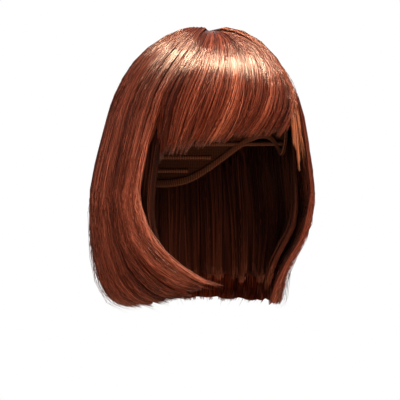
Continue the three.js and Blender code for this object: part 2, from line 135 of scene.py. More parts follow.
room = bpy.data.worlds.new("white_room")
bpy.context.scene.world = room
room.use_nodes = True
facing = add_node(room.node_tree, "ShaderNodeTexCoord")
towards_wall = add_node(room.node_tree, "ShaderNodeVectorMath", {"operation": "DOT_PRODUCT"},
                        _0=facing.outputs["Generated"], _1=tuple(-view_back))
wall_light = add_node(room.node_tree, "ShaderNodeMapRange", {"interpolation_type": "SMOOTHSTEP"},
                      Value=towards_wall.outputs["Value"], From_Min=0.8, From_Max=0.97,
                      To_Min=ROOM_SHADE, To_Max=1.0)
plug(room.node_tree.nodes["Background"], Color=linear(ROOM_WHITE), Strength=wall_light.outputs[0])
bpy.context.scene.view_settings.view_transform = "Standard"

bpy.ops.mesh.primitive_plane_add(size=FLOOR_SIZE, location=(0, 0, FLOOR_DROP))
floor = bpy.context.object
floor.name = "studio_floor"
floor_paint, paint_shader = new_material("floor_paint")
plug(paint_shader, Base_Color=linear(FLOOR_PALE), Roughness=0.7)
floor.data.materials.append(floor_paint)

softbox("overhead", turn=-31, rise=76.5, distance=1.5, width=2.4, height=0.1, power=68)
softbox("overhead_left", turn=-94, rise=72, distance=1.5, width=0.9, height=0.1, power=28)
softbox("overhead_right", turn=14, rise=76, distance=1.5, width=0.6, height=0.1, power=10)
softbox("front_left", turn=-85, rise=24, distance=2.2, width=1.2, height=1.2, power=14, glint=False)
softbox("front_right", turn=55, rise=12, distance=2.4, width=1.2, height=1.2, power=28, glint=False)
softbox("back_fill", turn=149, rise=18, distance=2.4, width=1.2, height=1.2, power=24, glint=False)
softbox("crown_left", turn=-130, rise=60, distance=1.7, width=0.4, height=0.14, power=7)
softbox("crown_right", turn=60, rise=62, distance=1.7, width=0.35, height=0.14, power=26)
softbox("far_edge", turn=95, rise=-5, distance=1.9, width=0.3, height=1.2, power=26, glint=False)
softbox("reflector", turn=-25, rise=-38, distance=1.8, width=1.4, height=1.0, power=60,
        colour=WARM_BOUNCE, glint=False)


# The cap: a stretch net sewn to a head's shape, with an ear tab on each side. The hair is sewn to it
# from outside. It is the solid's own form with finer faces.
CAP_NET_DARK = "#140906"
CAP_NET_LIGHT = "#3b2116"
NET_PITCH = 0.0016  # drawn about twice as coarse as the real mesh, so that it shows
HEAD_HALF_WIDTH = 0.077
HEAD_HALF_LENGTH = 0.098
HEAD_CROWN = 0.100
CAP_WALL = 0.0016
NAPE_DROP = 0.150
MERGE_WITHIN = 1e-5
FINER_LEVELS = 2


def edit_alone(piece):
    """Opens one piece in edit mode with all of its mesh selected."""
    bpy.ops.object.select_all(action="DESELECT")
    piece.select_set(True)
    bpy.context.view_layer.objects.active = piece
    bpy.ops.object.mode_set(mode="EDIT")
    bpy.ops.mesh.select_all(action="SELECT")


def finer_copy(node, name):
    """A copy of a solid with merged corners, four-sided faces and a subdivided surface."""
    piece = bpy.data.objects.new(name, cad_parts[node].data.copy())
    piece.data.materials.clear()
    bpy.context.scene.collection.objects.link(piece)
    edit_alone(piece)
    bpy.ops.mesh.remove_doubles(threshold=MERGE_WITHIN)
    bpy.ops.mesh.tris_convert_to_quads()
    bpy.ops.object.mode_set(mode="OBJECT")
    finer = piece.modifiers.new("finer", "SUBSURF")
    finer.levels = finer.render_levels = FINER_LEVELS
    bpy.ops.object.modifier_apply(modifier="finer")
    bpy.ops.object.shade_smooth()
    return piece


def wrap_map(piece):
    """Gives a piece on the head a map in metres: along the turn, and down from the crown."""
    mesh = piece.data
    places = np.empty(len(mesh.vertices) * 3, np.float32)
    mesh.vertices.foreach_get("co", places)
    x, y, z = places.reshape(-1, 3).T
    turn = np.arctan2(x, -y)
    down = np.arccos(np.clip((z + HEAD_CROWN) / HEAD_CROWN, -1, 1))
    corners = np.empty(len(mesh.loops), np.int32)
    mesh.loops.foreach_get("vertex_index", corners)
    wrapped = turn[corners]
    starts = [face.loop_start for face in mesh.polygons]
    first = np.repeat(wrapped[starts], [face.loop_total for face in mesh.polygons])
    wrapped = wrapped + 2 * math.pi * np.round((first - wrapped) / (2 * math.pi))
    flat = np.stack([wrapped * HEAD_HALF_WIDTH, down[corners] * HEAD_CROWN], 1)
    chart = mesh.uv_layers.new(name="wrap")
    chart.data.foreach_set("uv", flat.astype(np.float32).ravel())


def cloth(name, pitch, **surface):
    """A material with its surface, its tree, and the map of a piece on the head in steps of a pitch."""
    made, shader = new_material(name)
    plug(shader, **surface)
    place = add_node(made.node_tree, "ShaderNodeUVMap", {"uv_map": "wrap"})
    steps = add_node(made.node_tree, "ShaderNodeMapping", Vector=place.outputs[0], Scale=(1 / pitch,) * 3)
    return made, made.node_tree, steps.outputs[0]


def two_tone(made, pattern, dark, light, strength, depth):
    """Gives cloth the colours and the relief of a pattern."""
    tree = made.node_tree
    tones = add_node(tree, "ShaderNodeMix", {"data_type": "RGBA"}, Factor=pattern,
                     _6=linear(dark), _7=linear(light))
    relief = add_node(tree, "ShaderNodeBump", Height=pattern, Strength=strength, Distance=depth)
    plug(tree.nodes["Principled BSDF"], Base_Color=tones.outputs[2], Normal=relief.outputs[0])
    return made


def finish(piece, node):
    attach(piece, "root")
    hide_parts(node)


def net_material():
    """Knitted polyester stretch net: matt, dark, with small holes between round threads."""
    made, tree, steps = cloth("polyester_stretch_net", NET_PITCH, Roughness=0.82, Specular_IOR_Level=0.15)
    cells = add_node(tree, "ShaderNodeTexVoronoi", {"distance": "CHEBYCHEV"},
                     Vector=steps, Scale=1.0, Randomness=0.15)
    thread = add_node(tree, "ShaderNodeMapRange", Value=cells.outputs["Distance"],
                      From_Min=0.25, From_Max=0.5)
    return two_tone(made, thread.outputs[0], CAP_NET_DARK, CAP_NET_LIGHT, strength=0.6, depth=0.0004)


cap = finer_copy("cap", "cap_net")
wrap_map(cap)
cap.data.materials.append(net_material())
finish(cap, "cap")


# The binding: a woven elastic tape turned over the cap's edge and sewn down inside it.
BINDING_DARK = "#24120b"
BINDING_LIGHT = "#4e2f22"
BINDING_RIB = 0.0011
HALF_WAVE = 0.16  # of a Wave texture at a scale of 1


def binding_material():
    """Woven elastic tape: fine ribs across its width, matt."""
    made, tree, steps = cloth("woven_elastic_tape", BINDING_RIB / HALF_WAVE,
                              Roughness=0.7, Specular_IOR_Level=0.2)
    ribs = add_node(tree, "ShaderNodeTexWave", {"wave_profile": "SIN"},
                    Vector=steps, Scale=1.0, Distortion=0.3)
    return two_tone(made, ribs.outputs["Fac"], BINDING_DARK, BINDING_LIGHT, strength=0.5, depth=0.0003)


binding = finer_copy("cap_band", "cap_binding")
wrap_map(binding)
binding.data.materials.append(binding_material())
finish(binding, "cap_band")


# The wefts: tapes with hair sewn along them, stitched in level rows round the inside of the cap.
WEFT_SPACING = 0.014
WEFT_WIDTH = 0.0045
WEFT_THICKNESS = 0.0019  # sunk into the net by about half
WEFT_FIRST = 0.046  # below the top of the head
WEFT_EDGE_ROOM = 0.011  # kept clear above the cap's edge
WEFT_STEPS = 96
CAP_EDGE = {  # the share of NAPE_DROP at which the cap ends, round from the front
    "turn": [0, 30, 50, 60, 70, 80, 95, 115, 135, 155, 180],
    "drop": [0.35, 0.37, 0.46, 0.66, 0.82, 0.72, 0.65, 0.72, 0.86, 0.97, 1],
}


def read(table, key, at, column):
    """Reads a column of a table between its rows, with a smooth slope, for an array of places."""
    keys, values = np.array(table[key], float), np.array(table[column], float)
    slopes = np.empty_like(values)
    slopes[1:-1] = (values[2:] - values[:-2]) / (keys[2:] - keys[:-2])
    slopes[0] = (values[1] - values[0]) / (keys[1] - keys[0])
    slopes[-1] = (values[-1] - values[-2]) / (keys[-1] - keys[-2])
    at = np.asarray(at, float)
    i = np.clip(np.searchsorted(keys, at, "right") - 1, 0, len(keys) - 2)
    span = keys[i + 1] - keys[i]
    t = np.clip((at - keys[i]) / span, 0, 1)
    return (
        (2 * t**3 - 3 * t**2 + 1) * values[i]
        + (t**3 - 2 * t**2 + t) * span * slopes[i]
        + (3 * t**2 - 2 * t**3) * values[i + 1]
        + (t**3 - t**2) * span * slopes[i + 1]
    )


def mesh_piece(name, points, faces, material):
    """A mesh object from an array of points and arrays of three-sided or four-sided faces."""
    mesh = bpy.data.meshes.new(name)
    mesh.vertices.add(len(points))
    mesh.vertices.foreach_set("co", np.asarray(points, np.float32).ravel())
    sizes = np.concatenate([np.full(len(group), group.shape[1], np.int32) for group in faces])
    corners = np.concatenate([group.ravel() for group in faces]).astype(np.int32)
    starts = np.concatenate([[0], np.cumsum(sizes)[:-1]]).astype(np.int32)
    mesh.loops.add(len(corners))
    mesh.loops.foreach_set("vertex_index", corners)
    mesh.polygons.add(len(sizes))
    mesh.polygons.foreach_set("loop_start", starts)
    mesh.update(calc_edges=True)
    mesh.polygons.foreach_set("use_smooth", np.ones(len(sizes), bool))
    mesh.materials.append(material)
    piece = bpy.data.objects.new(name, mesh)
    bpy.context.scene.collection.objects.link(piece)
    return piece


def head_point(turn, drop, offset):
    """A point of the head's surface at a height below its top, moved out or in by an offset."""
    turn, drop = np.broadcast_arrays(turn, drop)
    down = np.arccos(np.clip(1 - drop / HEAD_CROWN, -1, 1))
    way = np.radians(turn)
    return np.stack([
        (HEAD_HALF_WIDTH + offset) * np.sin(down) * np.sin(way),
        -(HEAD_HALF_LENGTH + offset) * np.sin(down) * np.cos(way),
        (HEAD_CROWN + offset) * np.cos(down) - HEAD_CROWN,
    ], -1)


def weft_rows():
    """The tapes as closed strips, one for each level, over the turns where the cap is deep enough."""
    section = [(0, 0), (WEFT_WIDTH, 0), (WEFT_WIDTH, -WEFT_THICKNESS),
               (WEFT_WIDTH / 2, -1.2 * WEFT_THICKNESS), (0, -WEFT_THICKNESS)]
    turns = np.linspace(0, 360, 721)
    edge = NAPE_DROP * read(CAP_EDGE, "turn", np.minimum(turns, 360 - turns), "drop")
    drops = np.arange(WEFT_FIRST, NAPE_DROP - WEFT_EDGE_ROOM, WEFT_SPACING)
    index = np.arange(len(drops) * WEFT_STEPS * len(section)).reshape(len(drops), WEFT_STEPS, -1)
    points, faces = [], []
    for row, drop in zip(index, drops):
        inside = turns[edge - WEFT_EDGE_ROOM > drop + WEFT_WIDTH]
        lie = np.linspace(inside.min(), inside.max(), WEFT_STEPS)
        points.append(np.stack([head_point(lie, drop + down, off) for down, off in section], 1))
        around = np.roll(row, -1, 1)
        faces.append(np.stack([row[:-1], around[:-1], around[1:], row[1:]], -1))
    return np.concatenate(points).reshape(-1, 3), np.concatenate(faces).reshape(-1, 4)


weft_points, weft_faces = weft_rows()
wefts = mesh_piece("wefts", weft_points, [weft_faces], binding_material())
edit_alone(wefts)
bpy.ops.mesh.fill_holes(sides=8)
bpy.ops.mesh.select_all(action="SELECT")
bpy.ops.mesh.normals_make_consistent(inside=False)
bpy.ops.object.mode_set(mode="OBJECT")
wrap_map(wefts)
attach(wefts, "root")


# The fringe: heat-resistant synthetic fibre, combed forward from the part and slightly to the
# wearer's right, cut in a shallow curve, with the ends turned in. Lengths are in metres. Turns are
# in degrees from straight ahead, above 0 on the wearer's left.
CROWN_LIFT = 0.013  # how far the hair stands off the head, above, aside, in front and behind
SIDE_FLARE = 0.035
FRONT_FLARE = 0.017
BACK_FLARE = 0.019
HAIR_DROP = 0.268  # the hems, below the top of the head
BANGS_DROP = 0.103
PART_FRONT = 0.014  # the part's ends, in front of the crown and behind it
PART_BACK = 0.042
PART_WIDTH = 0.0024
SEAT_GAP = 0.0009  # between the cap and the hair
HAIR_THICKNESS = 0.010
TIP_THICKNESS = 0.0014
EDGE_SHARE = 0.45  # of its thickness, which a panel keeps at its front edge
EDGE_SPREAD = 14
PANEL_THINS = (0.85, 1.1)  # the falls between which it thins there
VALLEY = 0.0032  # the deepest groove between two locks
VALLEY_LIMIT = 0.6  # of a panel's thickness
VALLEY_EASE = 0.7
ROOT_DIP = 0.003  # how far the fringe's roots lie below the form, and the falls where that ends
DIP_ENDS = (0.1, 0.45)
BANGS_TUCK = 0.009  # how far the fringe's ends turn in, and the shares of its length where they do
TUCK_SHARES = (0.55, 1)
TIP_ROLL = 0.006  # how much further the very ends turn in
ROLL_SHARES = (0.84, 1)
BEHIND_SIDE = 0.007  # how far its right end goes in behind the side, at these turns and falls
BEHIND_TURNS = (44, 64)
BEHIND_FALLS = (0.6, 1)
TUCK_EASE = 1.5
BANGS_NOTCH = 0.0035
FAN = 24  # degrees by which the hair fans out from the part
SWEEP_RIGHT = 44  # degrees by which the ends of the long hair sweep forward
SWEEP_LEFT = 30
SWEEP_END = 152
SWEEP_START = 1.1
SWEEP_HASTE = 2.6
SWEEP_EASE = 1.3
RISE_RIGHT = 0.025  # how much shorter the long hair is at its front edges
RISE_LEFT = 0.006
RISE_HASTE = 3.5
TUCK_RIGHT = 0.006  # how much further its ends turn in there
TUCK_LEFT = 0.026
RIGHT_EDGE = -66  # the turns at which the panels meet
BANGS_LEFT_EDGE = 37
LEFT_EDGE = 51
BACK_EDGE = 114
NAPE_EDGE = 150
HANGS_FREE = (1.0, 1.4)  # the falls between which the hair leaves the head
FORM = {  # the outer form on the way down from the part (0) by the widest level (1) to the hem (2)
    "fall": [0, 0.1, 0.22, 0.42, 0.62, 0.82, 1, 1.15, 1.3, 1.45, 1.58, 1.7, 1.8, 1.88, 1.94, 2],
    "side": [0.2, 0.36, 0.39, 0.41, 0.43, 0.48, 0.57, 0.78, 0.94, 1, 1, 0.98, 0.94, 0.9, 0.87, 0.85],
    "ends": [0.4, 0.72, 0.8, 0.84, 0.86, 0.92, 0.97, 1, 1, 1, 0.97, 0.92, 0.88, 0.86, 0.85, 0.85],
    "crown": [0.55, 0.95, 1, 1, 1, 1, 1, 1, 1, 1, 1, 1, 1, 1, 1, 1],
    "drop": [0, 0, 0, 0, 0, 0, 0, 0.19, 0.38, 0.565, 0.715, 0.845, 0.93, 0.977, 0.995, 1],
    "curl": [1, 1, 1, 1, 1, 1, 1, 1, 1, 1, 0.99, 0.955, 0.895, 0.825, 0.755, 0.675],
    "tuck": [0, 0, 0, 0, 0, 0, 0, 0, 0.08, 0.35, 0.75, 1, 0.95, 0.7, 0.4, 0],
}
LAYERS = {  # shares of the thicknesses, of the gap between the layers and of the grooves
    "fall": [0, 0.3, 0.74, 0.86, 1, 1.15, 1.3, 1.58, 1.8, 1.94, 2],
    "thick": [3, 3, 3, 1.15, 1.1, 1, 0.95, 0.95, 0.8, 0.4, 0.14],
    "apart": [0.1, 0.1, 0.1, 0.12, 0.3, 0.85, 1, 0.6, 0.35, 0.3, 0.3],
    "under": [1, 1, 1, 1, 1, 1, 1, 1, 0.7, 0.3, 0.25],
    "groove": [0.15, 0.35, 0.6, 0.7, 0.8, 0.9, 1, 1, 1, 1, 1],
}
BANGS_HEM = {  # the share of BANGS_DROP at which the fringe ends, round from the wearer's right
    "turn": [-66, -45, -20, 0, 15, 28, 37],
    "drop": [1.22, 1.15, 1.04, 1, 0.99, 0.94, 0.86],
}
BANGS_LOCKS = {  # from side to side: how wide and high its locks are, and how much shorter they end
    "width": [1.1, 0.8, 1.2, 1, 1.2, 0.8, 1.1, 0.9, 1.1, 1],
    "ridge": [1, 0.7, 0.9, 0.8, 0.9, 0.7, 0.8, 0.8, 0.9, 0.8],
    "short": [0, 0.8, 0.1, 0.6, 0, 0.9, 0.2, 0.6, 0, 0.5],
}
FALL_OF_METRE = 1 / (HAIR_DROP - HEAD_CROWN)  # the fall that a metre of a strand takes
FALL_HALVINGS = 24
SHELL_SHARES = (0.25, 0.7)  # of the way from a panel's face to its back
SHELL_COLUMNS = 40
SHELL_ROWS = 26
SHELL_TOP = 0.02  # the fall at which it starts, past the part
SHELL_SUNK = 0.6  # how deep both its sides lie at its roots and ends
SHELL_ROOTS = (0.05, 0.4)
SHELL_ENDS = (0.7, 1)
ROOTS_FORWARD = 10
ROOTS_SPREAD = 40
ROOT_LEAN_ENDS = (0.35, 0.85)
WAIST_STARTS = (0.8, 1.25)
WAIST_ENDS = (1.4, 1.85)
LEAN_RIGHT = 4  # degrees that the fringe's ends are combed aside, at its right end
LEAN_LEFT = 42
LEAN_FROM = 0.2  # of a strand's length
LEAN_HASTE = 0.7  # the lower, the further the middle of the fringe is combed aside
EVEN_BENDS = ((0, 1), (0, 1))  # how a strand's rings, from 0 to 1, are spread along it
FRINGE_BENDS = ((0, 0.5, 1), (0, 0.57, 1))
FULLNESS = [  # where the hair stands a little outside the solid, or inside it below 0
    {"turn": 69, "half": 45, "fall": 0.33, "span": 0.3, "out": 0.0035},  # over the left of the crown
    {"turn": -121, "half": 55, "fall": 1.24, "span": 0.42, "out": 0.0045},  # behind the right ear
    {"turn": 72, "half": 42, "fall": 1.66, "span": 0.26, "out": -0.008},  # where the left ends turn in
]


def smoothstep(at, low, high):
    """0 below one place and 1 above another, with a smooth rise between them."""
    t = np.clip((at - low) / (high - low), 0, 1)
    return t * t * (3 - 2 * t)


def sweep_share(turn):
    """How strongly a strand is swept forward: 1 at the panels' front edges, 0 at the back."""
    front = np.where(turn < 0, -RIGHT_EDGE, LEFT_EDGE)
    return np.clip((SWEEP_END - np.abs(turn)) / (SWEEP_END - front), 0, 1) ** SWEEP_EASE


def form_point(start, fall):
    """A point of the outer form, for arrays of turns in degrees and of falls."""
    start, fall = np.broadcast_arrays(np.asarray(start, float), np.asarray(fall, float))
    turn = np.where(start > 180, start - 360, start)
    fan = FAN * np.sin(np.radians(turn)) * (1 - np.minimum(fall, 1)) ** 2
    late = np.maximum(fall - SWEEP_START, 0) / (2 - SWEEP_START)
    swept = np.where(turn < 0, SWEEP_RIGHT, SWEEP_LEFT) * sweep_share(turn) * late**SWEEP_HASTE
    way = np.radians(turn - fan - np.sign(turn) * swept)
    first = math.asin(PART_WIDTH / (2 * HEAD_HALF_WIDTH))
    angle = first + (math.pi / 2 - first) * np.minimum(fall, 1)
    ahead = np.cos(way)
    a = HEAD_HALF_WIDTH + SIDE_FLARE * read(FORM, "fall", fall, "side")
    b = HEAD_HALF_LENGTH + np.where(ahead > 0, FRONT_FLARE, BACK_FLARE) * read(FORM, "fall", fall, "ends")
    c = HEAD_CROWN + CROWN_LIFT * read(FORM, "fall", fall, "crown")
    part = (1 - np.sin(angle)) ** 3
    x = a * np.sin(angle) * np.sin(way)
    reach = b * np.sin(angle) + part * (PART_FRONT + PART_BACK) / 2
    y = part * (PART_BACK - PART_FRONT) / 2 - reach * ahead
    level = np.sqrt(np.maximum(1 - (x / a) ** 2 - (y / b) ** 2, 0))
    rise = np.where(turn < 0, RISE_RIGHT, RISE_LEFT) * sweep_share(turn) ** RISE_HASTE
    free = HAIR_DROP - HEAD_CROWN - rise
    tuck = np.where(turn < 0, TUCK_RIGHT, TUCK_LEFT) * sweep_share(turn) * read(FORM, "fall", fall, "tuck")
    kept = read(FORM, "fall", fall, "curl") - tuck / (HEAD_HALF_WIDTH + SIDE_FLARE)
    below = -HEAD_CROWN - free * read(FORM, "fall", fall, "drop")
    kept = np.where(fall < 1, 1, kept)
    return np.stack([x * kept, y * kept, np.where(fall < 1, c * level - HEAD_CROWN, below)], -1)


def unit(v):
    """Vectors at a length of 1."""
    return v / np.maximum(np.linalg.norm(v, axis=-1, keepdims=True), 1e-12)


def form_normal(turn, fall):
    """The outward direction of the form."""
    down = form_point(turn, np.minimum(fall + 0.01, 2)) - form_point(turn, np.maximum(fall - 0.01, 0))
    round_it = form_point(turn + 0.6, fall) - form_point(turn - 0.6, fall)
    return unit(np.cross(down, round_it))


def fullness(turn, fall):
    """How far the hair stands outside the solid."""
    turn, fall = np.broadcast_arrays(np.where(turn > 180, turn - 360, turn), fall)
    out = np.zeros(turn.shape)
    for swell in FULLNESS:
        across = smoothstep(1 - np.abs(turn - swell["turn"]) / swell["half"], 0, 1)
        down = smoothstep(1 - np.abs(fall - swell["fall"]) / swell["span"], 0, 1)
        out += swell["out"] * across * down
    return out


def hair_point(turn, fall, face, back, share, lift=0.0):
    """A point in the hair at a share of the way from a panel's face to its back, clear of the cap.
    Over the head the way in leads to the head's middle; where the hair hangs free it follows the
    normal. lift moves the point out again. Returns the point and the outward direction."""
    p = form_point(turn, fall)
    off = CAP_WALL + SEAT_GAP
    inward = -p
    inward[..., 2] = np.minimum(p[..., 2], -HEAD_CROWN) - p[..., 2]
    seat = np.linalg.norm(inward / (HEAD_HALF_WIDTH + off, HEAD_HALF_LENGTH + off, HEAD_CROWN + off),
                          axis=-1)
    below = np.minimum(p[..., 2] + HEAD_CROWN, 0) / (HEAD_CROWN + off)
    length = np.linalg.norm(inward, axis=-1)
    room = length * (1 - np.sqrt(np.maximum(1 - below**2, 0)) / np.maximum(seat, 1e-6))
    outward = form_normal(turn, fall)
    free = smoothstep(fall, *HANGS_FREE)[..., None]
    inward = unit(unit(inward) * (1 - free) - outward * free)
    back = np.minimum(back, room)
    face = np.minimum(face, back)
    depth = face + share * (back - face) - lift - fullness(turn, fall)
    return p + inward * depth[..., None], outward


def layer(fall, column):
    return read(LAYERS, "fall", fall, column)


def groove_depth(fall, column):
    return VALLEY * column["groove"] * layer(fall, "groove")


def full_back(fall):
    return HAIR_THICKNESS * layer(fall, "thick")


def outer_back(fall, column):
    thin = smoothstep(fall, *PANEL_THINS) * (1 - column["edge"])
    return full_back(fall) * (1 - thin * (1 - EDGE_SHARE))


def outer_face(fall, column):
    return np.minimum(groove_depth(fall, column), outer_back(fall, column) * VALLEY_LIMIT)


def thinning(fall, column):
    """From 0 to 1 over the lower part of a short strand, where its panel thins and turns in."""
    return smoothstep(fall / column["end"], *TUCK_SHARES)


def fringe_sunk(fall, column):
    """How far the fringe lies below the form: at its roots, where its ends turn in, and where its
    right end goes in behind the hair at the side."""
    tuck = BANGS_TUCK * thinning(fall, column) ** TUCK_EASE
    roll = TIP_ROLL * smoothstep(fall / column["end"], *ROLL_SHARES)
    behind = smoothstep(-column["turn"], *BEHIND_TURNS) * smoothstep(fall, *BEHIND_FALLS)
    return tuck + roll + BEHIND_SIDE * behind + ROOT_DIP * (1 - smoothstep(fall, *DIP_ENDS))


def fringe_face(fall, column):
    return groove_depth(fall, column) + fringe_sunk(fall, column)


def fringe_back(fall, column):
    thin = thinning(fall, column)
    return fringe_sunk(fall, column) + full_back(fall) * (1 - thin) + (TIP_THICKNESS + VALLEY) * thin


def fall_at(turn, level):
    """The fall at which the form has come down to a level."""
    low, high = np.zeros_like(turn), np.full_like(turn, 2)
    for _ in range(FALL_HALVINGS):
        middle = (low + high) / 2
        above = form_point(turn, middle)[..., 2] > level
        low, high = np.where(above, middle, low), np.where(above, high, middle)
    return low


def fringe_hem(turn):
    return fall_at(turn, -BANGS_DROP * read(BANGS_HEM, "turn", turn, "drop"))


def columns_at(panel, turn):
    """The lock that each turn of a panel lies in, how deep in a groove it lies, and where it ends."""
    widths, ridges, shorts = (np.array(panel["locks"][key]) for key in ("width", "ridge", "short"))
    share = (turn - panel["start"]) / (panel["stop"] - panel["start"])
    edges = np.concatenate([[0], np.cumsum(widths) / widths.sum()])
    i = np.clip(np.searchsorted(edges, share, "right") - 1, 0, len(widths) - 1)
    across = np.clip((share - edges[i]) / (edges[i + 1] - edges[i]), 0, 1)
    groove = 1 - np.sin(np.pi * across) ** VALLEY_EASE
    cut = (shorts[i] + (1 - shorts[i]) * groove) * panel["notch"] * FALL_OF_METRE
    return {
        "turn": turn,
        "middle": panel["start"] + (edges[i] + edges[i + 1]) / 2 * (panel["stop"] - panel["start"]),
        "groove": groove * ridges[i],
        "edge": smoothstep(np.abs(turn - panel["start"]), 0, EDGE_SPREAD),
        "end": panel["hem"](turn + panel["lean"](turn)) - cut,
    }


def combed_aside(panel, turn, fall, end):
    """The turns along strands after they have been combed aside at their roots and at their ends."""
    ends = panel["lean"](turn) * np.clip((fall / end - LEAN_FROM) / (1 - LEAN_FROM), 0, 1) ** 2
    roots = panel["root_lean"](turn) * (1 - smoothstep(fall, *ROOT_LEAN_ENDS))
    half_way = smoothstep(fall, *WAIST_STARTS) * (1 - smoothstep(fall, *WAIST_ENDS))
    return turn + ends + roots + panel["waist_lean"](turn) * half_way


def shell(panel):
    """A thin closed sheet in the middle of a panel, under its strands, for the hair that isn't drawn
    strand by strand. It stops short of the panel's sides and hem."""
    way = np.sign(panel["stop"] - panel["start"])
    first, last = panel["start"] + way * panel["inset"][0], panel["stop"] - way * panel["inset"][1]
    turn = np.linspace(first, last, SHELL_COLUMNS)[:, None]
    column = columns_at(panel, turn)
    end = column["end"] - panel["clear"] * FALL_OF_METRE
    top = panel["top"] + SHELL_TOP
    fall = top + (end - top) * np.linspace(0, 1, SHELL_ROWS)
    grid = combed_aside(panel, turn, fall, column["end"])
    column["turn"] = grid
    face, back = panel["face"](fall, column), panel["back"](fall, column)
    bare = 1 - smoothstep(fall, *SHELL_ROOTS) * (1 - smoothstep(fall / end, *SHELL_ENDS))
    sheets = []
    for share in SHELL_SHARES:
        share = share + np.maximum(SHELL_SUNK - share, 0) * bare
        sheets.append(hair_point(grid, fall, face, back, share)[0].reshape(-1, 3))
    count = SHELL_COLUMNS * SHELL_ROWS
    index = np.arange(count).reshape(SHELL_COLUMNS, SHELL_ROWS)
    front = np.stack([index[:-1, :-1], index[:-1, 1:], index[1:, 1:], index[1:, :-1]], -1).reshape(-1, 4)
    rim = np.concatenate([index[:, 0], index[-1, 1:], index[-2::-1, -1], index[0, -2:0:-1]])
    after = np.roll(rim, -1)
    wall = np.stack([rim, after, after + count, rim + count], -1)
    faces = np.concatenate([front, front[:, ::-1] + count, wall])
    if panel["stop"] < panel["start"]:
        faces = faces[:, ::-1]
    return np.concatenate(sheets), faces


RIPPLE_SPAN = 540  # degrees from straight behind, further than any panel reaches
RIPPLE_MARGIN = 4
RIPPLES = ({"length": 6.5, "size": 0.42}, {"length": 2.6, "size": 0.28})
WISP_MIX = 0.12  # of a wisp's width, by which strands mix at its sides
RAGGED_EASE = 1.5
TIP_SCATTER = 0.003
PART_ROOTS = (0, 0.006)
OUTSIDE_DEPTH = (0, 0.3)  # of the way through a panel
BURIED_UNTIL = 0.16  # of its length, as far as a strand from within the hair is buried
BURIED_DEPTH = 0.8
GATHER_FROM = 0.45
GROOVE_FILLED = 0.5
WISP_SWING = {"size": 0.35, "rate": 5.2}  # in degrees
OWN_SWING = {"size": 0.1, "rate": 7}
SWING_STARTS = (0.15, 0.8)
STRAY_TURN = 2.5
STRAY_LIFT = 0.0035
WISP_LIFT = {"size": 0.0003, "rate": 6}
OWN_LIFT = {"size": 0.0001, "rate": 9}
TEASED_LIFT = {"size": 0.0005, "rate": 11}  # round a fall of TEASED_AT, where the band is bright
TEASED_AT = 0.5
TEASED_FADES = (0.2, 0.45)
LIT_FROM = (0.35, 0.65)  # of a strand's length, where a bright wisp grows lighter


def ripple(turn, length, rng):
    """An uneven wave over the turns, from 0 to 1, about so many degrees long."""
    knots = np.arange(-RIPPLE_MARGIN, RIPPLE_MARGIN + math.ceil(RIPPLE_SPAN / length))
    return np.clip(np.interp(turn + 180, knots * length, rng.uniform(-0.1, 1.1, len(knots))), 0, 1)


def wave(phase, fall, bend):
    """A slow wave along strands, from the phase of each."""
    return bend["size"] * np.sin(phase[:, None] + bend["rate"] * fall)


